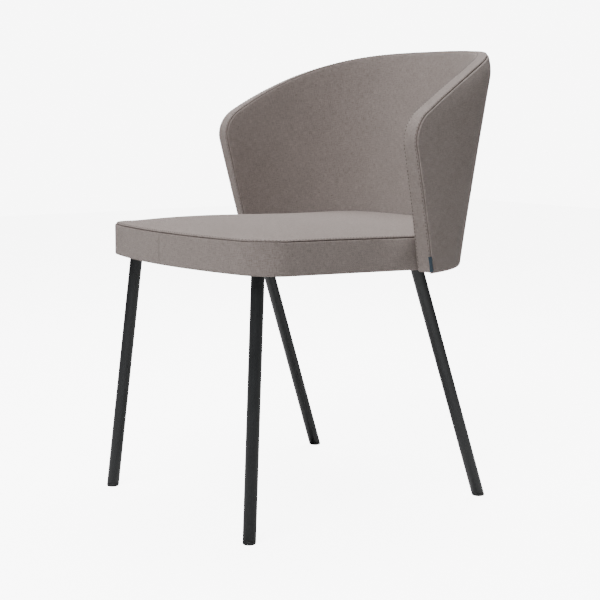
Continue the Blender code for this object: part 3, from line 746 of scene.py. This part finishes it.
def seat_boxing():
    places = seat_places()
    line = seat_edge(0.0, places)
    aim = seat_edge(1.0, places) - line
    front, back, pattern, held = [], [], [], []
    for spot, inward, s in zip(line, aim, places):
        top = seat_level(spot[1], SEAT_BOXING) + seat_crown(*spot)
        bottom = seat_level(spot[1], BOXING_BOTTOM)
        height = top - bottom
        middle = np.linspace(SEAM_ROWS[-1], height - HEM_ROWS[-1], BOXING_MIDDLE + 2)[1:-1]
        below = np.concatenate([SEAM_ROWS, middle, (height - HEM_ROWS)[::-1]])
        further, deep, along = sewn_corner(below)
        deep = deep + turned_under(height - below, BOXING_TURN)
        where = np.column_stack([0 * below + spot[0], 0 * below + spot[1], below])
        free = np.sin(np.clip(below / height, 0, 1) * math.pi)
        pucker, wave = unevenness(where, along, BOXING_PUCKER, free, BOXING_WAVE, 7.0)
        bulge = SIDE_BULGE * math.exp(-((spot[1] - BULGE_Y) / BULGE_RUN) ** 2)
        bulge *= abs(spot[0]) > BULGE_FROM
        inset = deep + pucker + wave - bulge * free - 0.0
        z = top - below - further
        front.append(np.column_stack([spot + inward * inset[:, None], z]))
        inset = np.maximum(BOXING_BACK, inset + BOXING_LEAST)
        drop = np.linspace(BOXING_DROP, height, len(below))
        back.append(np.column_stack([spot + inward * inset[:, None], top - drop]))
        pattern.append(np.column_stack([0 * below + s, below]))
        held.append((along < PINNED) | (height - below < PINNED))
    front, back, pattern = (np.concatenate(v) for v in (front, back, pattern))
    faces = loft_faces(len(places), len(below), ring=True)
    held = np.concatenate(held)
    return closed_pad("seat_boxing", front, back, faces, pattern, held, BOXING_SWELL)


boxing = seat_boxing()

# %% [markdown]
# ## Stitches that follow the seams
# Topstitching runs beside each seam. A Geometry Nodes tree walks along a line, puts one short
# thread at each step, and turns it to lie on the cloth. The line carries the cloth's outward
# direction as an attribute.

# %% A tree for running stitches
STITCH_SIZES = {"Pitch": 0.0062, "Stitch length": 0.0042, "Thread radius": 0.00062}
UNEVEN_LENGTH = (0.88, 1.08)


def add(tree, kind, inputs=(), **settings):
    """One node of a tree, with its settings, and its inputs linked or set."""
    made = tree.nodes.new(kind)
    for name, value in settings.items():
        setattr(made, name, value)
    for name, value in dict(inputs).items():
        socket = made.inputs[name]
        if isinstance(value, bpy.types.NodeSocket):
            tree.links.new(value, socket)
        else:
            socket.default_value = value
    return made


def sums(tree, operation, a, b=0.0, c=0.0):
    return add(tree, "ShaderNodeMath", {0: a, 1: b, 2: c}, operation=operation).outputs[0]


def stitch_tree(thread):
    tree = bpy.data.node_groups.new("running_stitch", "GeometryNodeTree")
    face = tree.interface
    face.new_socket("Seam line", in_out="INPUT", socket_type="NodeSocketGeometry")
    for name in STITCH_SIZES:
        face.new_socket(name, in_out="INPUT", socket_type="NodeSocketFloat")
    face.new_socket("Seed", in_out="INPUT", socket_type="NodeSocketInt")
    face.new_socket("Stitches", in_out="OUTPUT", socket_type="NodeSocketGeometry")
    given = add(tree, "NodeGroupInput").outputs
    curve = add(tree, "GeometryNodeMeshToCurve", {"Mesh": given["Seam line"]})
    even = add(tree, "GeometryNodeResampleCurve", {"Curve": curve.outputs[0]})
    even.mode = "LENGTH"
    tree.links.new(given["Pitch"], even.inputs["Length"])
    ball = add(tree, "GeometryNodeMeshUVSphere", {"Segments": 6, "Rings": 5, "Radius": 1.0})
    tangent = add(tree, "GeometryNodeInputTangent")
    outward = add(tree, "GeometryNodeInputNamedAttribute", {"Name": "outward"},
                  data_type="FLOAT_VECTOR")
    along = add(tree, "FunctionNodeAlignRotationToVector", {"Vector": tangent.outputs[0]}, axis="X")
    upright = add(tree, "FunctionNodeAlignRotationToVector",
                  {"Rotation": along.outputs[0], "Vector": outward.outputs[0]},
                  axis="Z", pivot_axis="X")
    uneven = add(tree, "FunctionNodeRandomValue", data_type="FLOAT")
    for socket, value in zip(uneven.inputs[2:4], UNEVEN_LENGTH):
        socket.default_value = value
    tree.links.new(given["Seed"], uneven.inputs["Seed"])
    half = sums(tree, "MULTIPLY", given["Stitch length"], 0.5)
    long = sums(tree, "MULTIPLY", half, uneven.outputs[1])
    size = add(tree, "ShaderNodeCombineXYZ", {"X": long, "Y": given["Thread radius"],
                                              "Z": given["Thread radius"]})
    placed = add(tree, "GeometryNodeInstanceOnPoints",
                 {"Points": even.outputs[0], "Instance": ball.outputs["Mesh"],
                  "Rotation": upright.outputs[0], "Scale": size.outputs[0]})
    real = add(tree, "GeometryNodeRealizeInstances", {"Geometry": placed.outputs[0]})
    painted = add(tree, "GeometryNodeSetMaterial",
                  {"Geometry": real.outputs[0], "Material": thread})
    add(tree, "NodeGroupOutput", {"Stitches": painted.outputs[0]})
    return tree


def stitches(name, tree, points, outward, seed):
    """Plain mesh of stitches along a line of points, with each point's outward direction."""
    line = new_object(name, [], [])
    pairs = [(i, i + 1) for i in range(len(points) - 1)]
    line.data.from_pydata([tuple(p) for p in points], pairs, [])
    way = line.data.attributes.new("outward", "FLOAT_VECTOR", "POINT")
    way.data.foreach_set("vector", np.asarray(outward, np.float32).ravel())
    sewing = line.modifiers.new("sewing", "NODES")
    sewing.node_group = tree
    values = {**STITCH_SIZES, "Seed": seed}
    for item in tree.interface.items_tree:
        if item.item_type == "SOCKET" and item.in_out == "INPUT" and item.name in values:
            sewing[item.identifier] = values[item.name]
    seen = line.evaluated_get(bpy.context.evaluated_depsgraph_get())
    mesh = bpy.data.meshes.new_from_object(seen)
    mesh.name = name
    line.modifiers.remove(sewing)
    line.data = mesh
    smooth(line)
    return line


# %% Lines beside the seams, laid on the finished cloth
TOPSTITCH = 0.0045
LINE_STEP = 0.002
LINE_START = 0.010


def laid_on(piece, points):
    """Points moved to the nearest place on a piece, and the piece's evened normals there."""
    surface = BVHTree.FromObject(piece, bpy.context.evaluated_depsgraph_get())
    found = [surface.find_nearest(Vector(p)) for p in points]
    place = np.array([f[0] for f in found])
    normal = np.array([f[1] for f in found])
    for _ in range(4):
        normal[1:-1] = (normal[:-2] + 2 * normal[1:-1] + normal[2:]) / 4
    normal /= np.linalg.norm(normal, axis=1)[:, None]
    return place, normal


def band_line(depth):
    """Line along the band at a depth from its outer face."""
    places = np.arange(LINE_START, edge_run[-1] - LINE_START, LINE_STEP)
    base = edge_points(0.0, places)
    lost = soft_shoulder(base[:, 1], 0.0)
    return on_shell(base, lost + depth * (1 - lost / THICKNESS))


def seat_top_line(inset):
    places = np.arange(0.0, seat_run[-1], LINE_STEP)
    plan = seat_edge(inset, places)
    plan = np.concatenate([plan, plan[:1]])
    rise = seat_crown(plan[:, 0], plan[:, 1])
    return np.column_stack([plan, seat_level(plan[:, 1], SEAT_BOXING) + rise])


# %% [markdown]
# ## Legs and feet
# Each leg is one straight tube of 22 mm steel, cut level at the floor and welded to the flat bars
# under the seat. The saw's edge is rounded by the powder coat. A plastic foot closes the tube.

# %% Legs
LEG_RADIUS = 0.011
LEG_WALL = 0.0015
LEG_ENDS = {"front": ((0.214, 0.028), (0.1845, 0.066)), "rear": ((0.236, 0.523), (0.22245, 0.375))}
LEG_TOP_LEVEL = 0.420
GLIDE_HEIGHT = 0.006
GLIDE_GAP = 0.0003
SAWN_EDGE = 0.0004
UNDER_BAR = 0.0008
ROUND_SEGMENTS = 56


def cut_ring(start, axis, radius, height_of):
    """Circle of a slanting tube where a level or sloping plane cuts it."""
    axis = np.asarray(axis)
    side = np.cross(axis, (0.0, 1.0, 0.0))
    side /= np.linalg.norm(side)
    other = np.cross(axis, side)
    t = np.linspace(0, 2 * math.pi, ROUND_SEGMENTS, endpoint=False)[:, None]
    ring = start + radius * (np.cos(t) * side + np.sin(t) * other)
    for _ in range(6):
        ring = ring + ((height_of(ring[:, 1]) - ring[:, 2]) / axis[2])[:, None] * axis
    return ring


def faced_outward(made, merge=None):
    """Turns the faces outward, after joining points that are closer than merge."""
    work = bmesh.new()
    work.from_mesh(made.data)
    if merge:
        bmesh.ops.remove_doubles(work, verts=work.verts, dist=merge)
    bmesh.ops.recalc_face_normals(work, faces=work.faces)
    work.to_mesh(made.data)
    work.free()


def turned(name, rings, closed=True):
    """Solid or ring-shaped body lofted through rings of points."""
    count = len(rings[0])
    points = np.concatenate(rings)
    faces = []
    for r in range(len(rings) if not closed else len(rings) - 1):
        a, b = r * count, ((r + 1) % len(rings)) * count
        for k in range(count):
            m = (k + 1) % count
            faces.append((a + k, a + m, b + m, b + k))
    if closed:
        faces.append(tuple(range(count))[::-1])
        faces.append(tuple(range(len(points) - count, len(points))))
    made = new_object(name, points, faces)
    faced_outward(made)
    smooth(made)
    made.data.set_sharp_from_angle(angle=math.radians(40))
    return made


def at_height(value):
    return lambda y: value + 0 * y


def leg_axis(place, side):
    foot, top = LEG_ENDS[place]
    start = np.array([side * foot[0], FRONT_Y + foot[1], 0.0])
    end = np.array([side * top[0], FRONT_Y + top[1], LEG_TOP_LEVEL])
    return start, (end - start) / np.linalg.norm(end - start)


def leg_tube(place, hand, side):
    start, axis = leg_axis(place, side)
    low = GLIDE_HEIGHT + GLIDE_GAP
    soft = SAWN_EDGE
    wall = LEG_RADIUS - LEG_WALL
    under_bar = lambda y: seat_level(y, UNDER_BAR)
    profile = [(LEG_RADIUS - soft, at_height(low)), (LEG_RADIUS, at_height(low + soft)),
               (LEG_RADIUS, under_bar), (wall, under_bar), (wall, at_height(low + soft)),
               (wall + soft, at_height(low))]
    rings = [cut_ring(start, axis, radius, cut) for radius, cut in profile]
    made = turned(f"tube_{place}_{hand}", rings, closed=False)
    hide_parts(f"leg_{place}_{hand}")
    return made


def foot_cap(place, hand, side):
    """Plastic foot: a flanged plug with a rounded lower edge and a flat sole."""
    start, axis = leg_axis(place, side)
    stem = LEG_RADIUS - LEG_WALL - GLIDE_GAP
    profile = [(LEG_RADIUS - 0.0022, 0.0), (LEG_RADIUS - 0.0014, 0.00018),
               (LEG_RADIUS - 0.0007, 0.0006), (LEG_RADIUS - 0.0002, 0.0013),
               (LEG_RADIUS, 0.0021), (LEG_RADIUS, GLIDE_HEIGHT - 0.0004),
               (LEG_RADIUS - 0.0004, GLIDE_HEIGHT), (stem, GLIDE_HEIGHT), (stem, 0.024)]
    rings = [cut_ring(start, axis, radius, at_height(height)) for radius, height in profile]
    made = turned(f"foot_{place}_{hand}", rings)
    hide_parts(f"glide_{place}_{hand}")
    return made


legs = []
feet = []
for place in ("front", "rear"):
    for hand, side in (("left", 1), ("right", -1)):
        legs.append(leg_tube(place, hand, side))
        feet.append(foot_cap(place, hand, side))
print(len(legs), "tubes and", len(feet), "feet")

# %% [markdown]
# ## The label in the seam
# A short woven ribbon, folded double, is caught in the outer seam at the foot of the left arm. It
# leaves the valley of the seam and bends forward.

# %% Label
LABEL_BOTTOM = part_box("side_label")[0].z
LABEL_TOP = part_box("side_label")[1].z
LABEL_PLY = 0.00045
LABEL_BOW = 0.0003
LABEL_ROWS = 12


def label_section(height, bow):
    """Outline of the folded ribbon at one height, seen from above."""
    y = arm_front(height)
    across = pattern_of(np.array([[y, height]]))[0, 0]
    corner = shell_point(angle_at(across), height, 0.0)
    out = corner - shell_point(angle_at(across), height, THICKNESS)
    out /= np.linalg.norm(out)
    ahead = np.array([0.0, -1.0, 0.0])
    run = np.array([(-0.0022, -0.0022), (-0.0010, -0.0006), (0.0010, 0.0005),
                    (0.0035, 0.0010 + bow), (0.0060, 0.0011 + 2 * bow), (0.0078, 0.0010 + 2 * bow)])
    path = corner + run[:, :1] * ahead + run[:, 1:] * out
    lead = np.gradient(path, axis=0)
    aside = np.cross(lead, (0, 0, 1))
    aside /= np.linalg.norm(aside, axis=1)[:, None]
    one = path + aside * LABEL_PLY
    two = path - aside * LABEL_PLY
    t = np.linspace(0, math.pi, 7)[1:-1, None]
    tip = path[-1] + LABEL_PLY * (np.cos(t) * aside[-1] + 1.3 * np.sin(t) * ahead)
    return np.concatenate([one, tip, two[::-1]])


def label_ribbon():
    heights = np.linspace(LABEL_BOTTOM, LABEL_TOP, LABEL_ROWS)
    t = np.linspace(-1, 1, LABEL_ROWS)
    sections = [label_section(h, LABEL_BOW * (1 - v * v)) for h, v in zip(heights, t)]
    made = turned("label_ribbon", sections)
    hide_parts("side_label")
    return made


label = label_ribbon()

# %% [markdown]
# ## Colours and materials
# Colours are given as screen hex values and turned to linear light by one function. Every finish
# starts from the real thing: what it is, how its surface is made, and its size in millimetres.

# %% Helpers for materials
def linear(hex_value):
    """Linear colour from an sRGB hex value."""
    parts = [int(hex_value[i:i + 2], 16) / 255 for i in (1, 3, 5)]
    light = [c / 12.92 if c <= 0.04045 else ((c + 0.055) / 1.055) ** 2.4 for c in parts]
    return (*light, 1.0)


def new_material(name, **constants):
    """A named material, its shader, and its tree; constants go on the shader's own sockets."""
    made = bpy.data.materials.new(name)
    made.use_nodes = True
    shader = made.node_tree.nodes["Principled BSDF"]
    for socket, value in constants.items():
        shader.inputs[socket.replace("_", " ")].default_value = value
    return made, shader, made.node_tree


def ramp(tree, factor, stops):
    """Colour ramp over a factor, through hex colours at positions."""
    made = add(tree, "ShaderNodeValToRGB", {"Fac": factor})
    bar = made.color_ramp
    while len(bar.elements) < len(stops):
        bar.elements.new(0.5)
    for element, (place, colour) in zip(bar.elements, stops):
        element.position = place
        element.color = linear(colour)
    return made.outputs["Color"]


def multiplied(tree, factor, a, b):
    """Product of two colours, by a share."""
    made = add(tree, "ShaderNodeMix", {"Factor": factor, 6: a, 7: b}, data_type="RGBA",
               blend_type="MULTIPLY")
    return made.outputs[2]


def vectors(tree, operation, a, b):
    return add(tree, "ShaderNodeVectorMath", {0: a, 1: b}, operation=operation).outputs[0]


def grains(tree, where, scale, detail=2.0, roughness=0.5):
    """Noise with grains of 1 / scale metres, as a factor."""
    return add(tree, "ShaderNodeTexNoise", {"Vector": where, "Scale": scale, "Detail": detail,
                                            "Roughness": roughness}).outputs["Fac"]


def roughened(tree, shader, factor, low, high):
    made = add(tree, "ShaderNodeMapRange", {"Value": factor, "To Min": low, "To Max": high})
    tree.links.new(made.outputs[0], shader.inputs["Roughness"])


def relief(tree, shader, height, strength, distance, over=None):
    """Bump where a height from 0 to 1 stands for a distance in metres, over another bump."""
    made = add(tree, "ShaderNodeBump", {"Height": height, "Strength": strength,
                                        "Distance": distance})
    if over is not None:
        tree.links.new(over, made.inputs["Normal"])
    tree.links.new(made.outputs[0], shader.inputs["Normal"])
    return made.outputs[0]


# %% [markdown]
# ## Upholstery cloth
# A flat plain-weave of spun polyester in a warm grey. Each yarn passes over one and under the
# next. Yarns differ a little in colour and thickness along their length, which gives the soft
# mottling. The real yarns are about 0.7 mm apart; they are drawn at 1.2 mm so that the weave
# shows. Loose fibre gives a faint sheen at grazing angles.

# %% Weave
YARN_SPACING = 0.0012
YARN_WOBBLE = (0.9, 0.9, 0.0)
SLUB = 0.13


def woven_cloth(name, pale, mid, dark):
    made, shader, tree = new_material(name, Roughness=0.88, IOR=1.45, Specular_IOR_Level=0.25,
                                      Sheen_Weight=0.45, Sheen_Roughness=0.40,
                                      Sheen_Tint=linear("#c9c0bb"))
    uv = add(tree, "ShaderNodeUVMap", uv_map="threads").outputs[0]
    wobble = add(tree, "ShaderNodeTexNoise", {"Vector": uv, "Scale": 160.0, "Detail": 2.0})
    shift = vectors(tree, "SUBTRACT", wobble.outputs["Color"], (0.5, 0.5, 0.5))
    yarns = vectors(tree, "ADD", vectors(tree, "MULTIPLY", uv, (1 / YARN_SPACING,) * 3),
                    vectors(tree, "MULTIPLY", shift, YARN_WOBBLE))
    parts = add(tree, "ShaderNodeSeparateXYZ", {"Vector": yarns}).outputs
    warp, weft = (sums(tree, "ABSOLUTE", sums(tree, "SINE", sums(tree, "MULTIPLY", part, math.pi)))
                  for part in (parts["X"], parts["Y"]))
    over = add(tree, "ShaderNodeTexChecker", {"Vector": yarns, "Scale": 1.0}).outputs["Fac"]
    weave = add(tree, "ShaderNodeMix", {"Factor": over, 2: warp, 3: weft},
                data_type="FLOAT").outputs[0]
    slubs = [grains(tree, vectors(tree, "MULTIPLY", yarns, stretch), 0.9, 3.0, 0.65)
             for stretch in ((1.0, SLUB, 1.0), (SLUB, 1.0, 1.0))]
    slub = sums(tree, "MULTIPLY", sums(tree, "ADD", *slubs), 0.5)
    colour = ramp(tree, slub, [(0.34, dark), (0.50, mid), (0.66, pale)])
    # Painted shade: the gaps between the yarns, where the weave height is low, are painted darker,
    # as shade that falls between them.
    painted_yarn_gap_shade = ramp(tree, weave, [(0.0, "#a09c9a"), (0.60, "#ffffff")])
    colour = multiplied(tree, 0.8, colour, painted_yarn_gap_shade)
    shade = ramp(tree, grains(tree, uv, 14.0, 4.0), [(0.30, "#f8f8f8"), (0.70, "#ffffff")])
    tree.links.new(multiplied(tree, 1.0, colour, shade), shader.inputs["Base Color"])
    roughened(tree, shader, slub, 0.82, 0.95)
    fine = relief(tree, shader, weave, 0.8, 0.00045)
    relief(tree, shader, slub, 0.9, 0.0010, fine)
    return made


cloth_finish = woven_cloth("plain_weave_taupe_cloth", "#a79c97", "#918682", "#7b726d")
print(cloth_finish.name)

# %% [markdown]
# ## Sewing thread
# Bonded polyester thread, dyed a shade darker than the cloth. Two strands twisted together give
# it fine slanting ridges and a slight gloss.

# %% Thread
thread_finish, shader, tree = new_material("polyester_sewing_thread", Roughness=0.55)
where = add(tree, "ShaderNodeTexCoord").outputs["Object"]
twist = add(tree, "ShaderNodeTexWave", {"Vector": where, "Scale": 700.0, "Distortion": 1.0})
# Painted shade: the thread's colour follows its twisted ridges and is painted darker in the grooves
# between them, as shade falls there.
tone = ramp(tree, twist.outputs["Fac"], [(0.0, "#3a3532"), (1.0, "#514a47")])
tree.links.new(tone, shader.inputs["Base Color"])
relief(tree, shader, twist.outputs["Fac"], 0.4, 0.0001)

# %% [markdown]
# ## Powder coat on steel
# Polyester powder is sprayed on and baked, which leaves a black satin skin with a faint orange
# peel about 1.5 mm across. Handling polishes it slightly in places.

# %% Powder coat
powder_coat, shader, tree = new_material("black_powder_coat", IOR=1.5)
where = add(tree, "ShaderNodeTexCoord").outputs["Object"]
peel = grains(tree, where, 650.0)
rub = grains(tree, where, 22.0, 4.0)
tree.links.new(ramp(tree, rub, [(0.3, "#101214"), (0.7, "#16181a")]), shader.inputs["Base Color"])
roughened(tree, shader, rub, 0.36, 0.50)
relief(tree, shader, peel, 0.12, 0.00005)

# %% [markdown]
# ## Small finishes
# The feet are moulded black polyamide, slightly scuffed. The label is a woven navy ribbon with
# fine ribs. Screws are bright zinc. The core and the seat board are beech plywood, whose plies
# show at the edges. The cloth under the seat is black spunbonded polypropylene.

# %% Small finishes
def simple_finish(name, pale, dark, scale, roughness, bump, stretch=(1, 1, 1), metallic=0.0):
    """Finish from one stretched noise: two tones, a roughness and a relief."""
    made, shader, tree = new_material(name, Roughness=roughness, Metallic=metallic)
    where = add(tree, "ShaderNodeTexCoord").outputs["Object"]
    grain = grains(tree, vectors(tree, "MULTIPLY", where, stretch), scale, 4.0, 0.6)
    tree.links.new(ramp(tree, grain, [(0.3, dark), (0.7, pale)]), shader.inputs["Base Color"])
    roughened(tree, shader, grain, roughness - 0.06, roughness + 0.06)
    relief(tree, shader, grain, 0.4, bump)
    return made


polyamide = simple_finish("black_moulded_polyamide", "#1c1d1e", "#111213", 900.0, 0.5, 0.00005)
ribbon = simple_finish("navy_woven_ribbon", "#3c5260", "#22313d", 900.0, 0.7, 0.00015, (1, 1, 2.2))
zinc = simple_finish("zinc_plated_steel", "#b8bcc0", "#8f959b", 300.0, 0.32, 0.00003,
                     metallic=1.0)
plywood = simple_finish("beech_plywood", "#c9a77c", "#a8835a", 60.0, 0.6, 0.0001,
                        (0.25, 0.25, 9.0))
felt = simple_finish("black_spunbonded_cloth", "#232323", "#151515", 700.0, 0.92, 0.0002)

# %% [markdown]
# ## Cloth under the seat
# A thin black sheet is stretched over the board's underside. It hides the foam's edges and keeps
# dust in. It is the frame's own sheet, merged into one skin.

# %% Dust cover
dust_cover = linked("dust_cover_cloth", nodes["seat_dust_cover"].data.copy())
dust_cover.data.name = dust_cover.name
faced_outward(dust_cover, merge=1e-6)
dust_cover.data.materials.clear()

# %% Sewing it all on, and finishes
sewing = stitch_tree(thread_finish)
pads = {
    outer_panel: (0.8, "shell_cover_outer", "shell_foam_outer"),
    inner_panel: (0.8, "shell_cover_inner", "shell_foam_inner"),
    band: (0.8, "shell_cover_band", "shell_foam_rim"),
    seat_pad: (0.75, "seat_cover_top", "seat_foam"),
    boxing: (0.75, "seat_cover_boxing"),
}
seam_lines = []
for name, piece, line, seed in (
        ("stitches_outer_seam", band, band_line(TOPSTITCH), 3),
        ("stitches_inner_seam", band, band_line(THICKNESS - TOPSTITCH), 4),
        ("stitches_seat_top", seat_pad, seat_top_line(TOPSTITCH), 5)):
    made = stitches(name, sewing, *laid_on(piece, line), seed)
    seam_lines.append(made)

for group, finish in ((pads, cloth_finish), (legs, powder_coat), (feet, polyamide),
                      ([label], ribbon), ([dust_cover], felt)):
    for piece in group:
        piece.data.materials.append(finish)
for piece, (_, *replaced) in pads.items():
    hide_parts(*replaced)
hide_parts("seat_dust_cover")
for name, node in nodes.items():
    finish = None
    if "_screw_" in name or "_bolt_" in name or "_sleeve_" in name:
        finish = zinc
    elif name.startswith(("side_bar", "cross_bar")):
        finish = powder_coat
    elif name in ("shell_core", "seat_board"):
        finish = plywood
    if finish and not node.hide_render:
        for material_slot in node.material_slots:
            material_slot.material = finish

for piece in [*pads, *seam_lines, *legs, *feet, label, dust_cover]:
    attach(piece, "root")

# %% [markdown]
# ## Floor and light
# A pale seamless floor and two large soft white lamps, as in a product studio. One hangs above the
# chair and one stands high in front of its left arm. Faces turned down or back stay darker.

# %% Studio
FLOOR_GLOW = 7.3
BACKDROP = 8.0
AMBIENT = 0.06


def make_floor():
    floor = new_object("floor", [(-6, -6, 0), (6, -6, 0), (6, 6, 0), (-6, 6, 0)], [(0, 1, 2, 3)])
    made, shader, tree = new_material("pale_studio_floor", Roughness=0.9)
    where = add(tree, "ShaderNodeTexCoord").outputs["Object"]
    soft = add(tree, "ShaderNodeTexNoise", {"Vector": where, "Scale": 3.0}).outputs["Fac"]
    tone = ramp(tree, soft, [(0.3, "#f6f6f6"), (0.7, "#fafafa")])
    tree.links.new(tone, shader.inputs["Base Color"])
    seen = add(tree, "ShaderNodeLightPath").outputs["Is Camera Ray"]
    tree.links.new(sums(tree, "MULTIPLY", seen, FLOOR_GLOW), shader.inputs["Emission Strength"])
    floor.data.materials.append(made)


def area_light(name, place, aim, size, watts):
    data = bpy.data.lights.new(name, "AREA")
    data.shape = "DISK"
    data.size = size
    data.energy = watts
    made = linked(name, data)
    made.location = place
    made.rotation_mode = "QUATERNION"
    made.rotation_quaternion = (Vector(aim) - Vector(place)).to_track_quat("-Z", "Y")


def make_sky():
    world = bpy.data.worlds.new("studio")
    world.use_nodes = True
    tree = world.node_tree
    seen = add(tree, "ShaderNodeLightPath").outputs["Is Camera Ray"]
    strength = sums(tree, "MULTIPLY_ADD", seen, BACKDROP - AMBIENT, AMBIENT)
    tree.nodes["Background"].inputs[0].default_value = (1, 1, 1, 1)
    tree.links.new(strength, tree.nodes["Background"].inputs[1])
    bpy.context.scene.world = world


make_floor()
make_sky()
area_light("overhead", (-0.8, 0.7, 2.8), (0, 0, 0.5), 2.2, 100)
area_light("front_high", (0.9, -1.8, 3.0), (0, 0, 0.6), 1.8, 124)
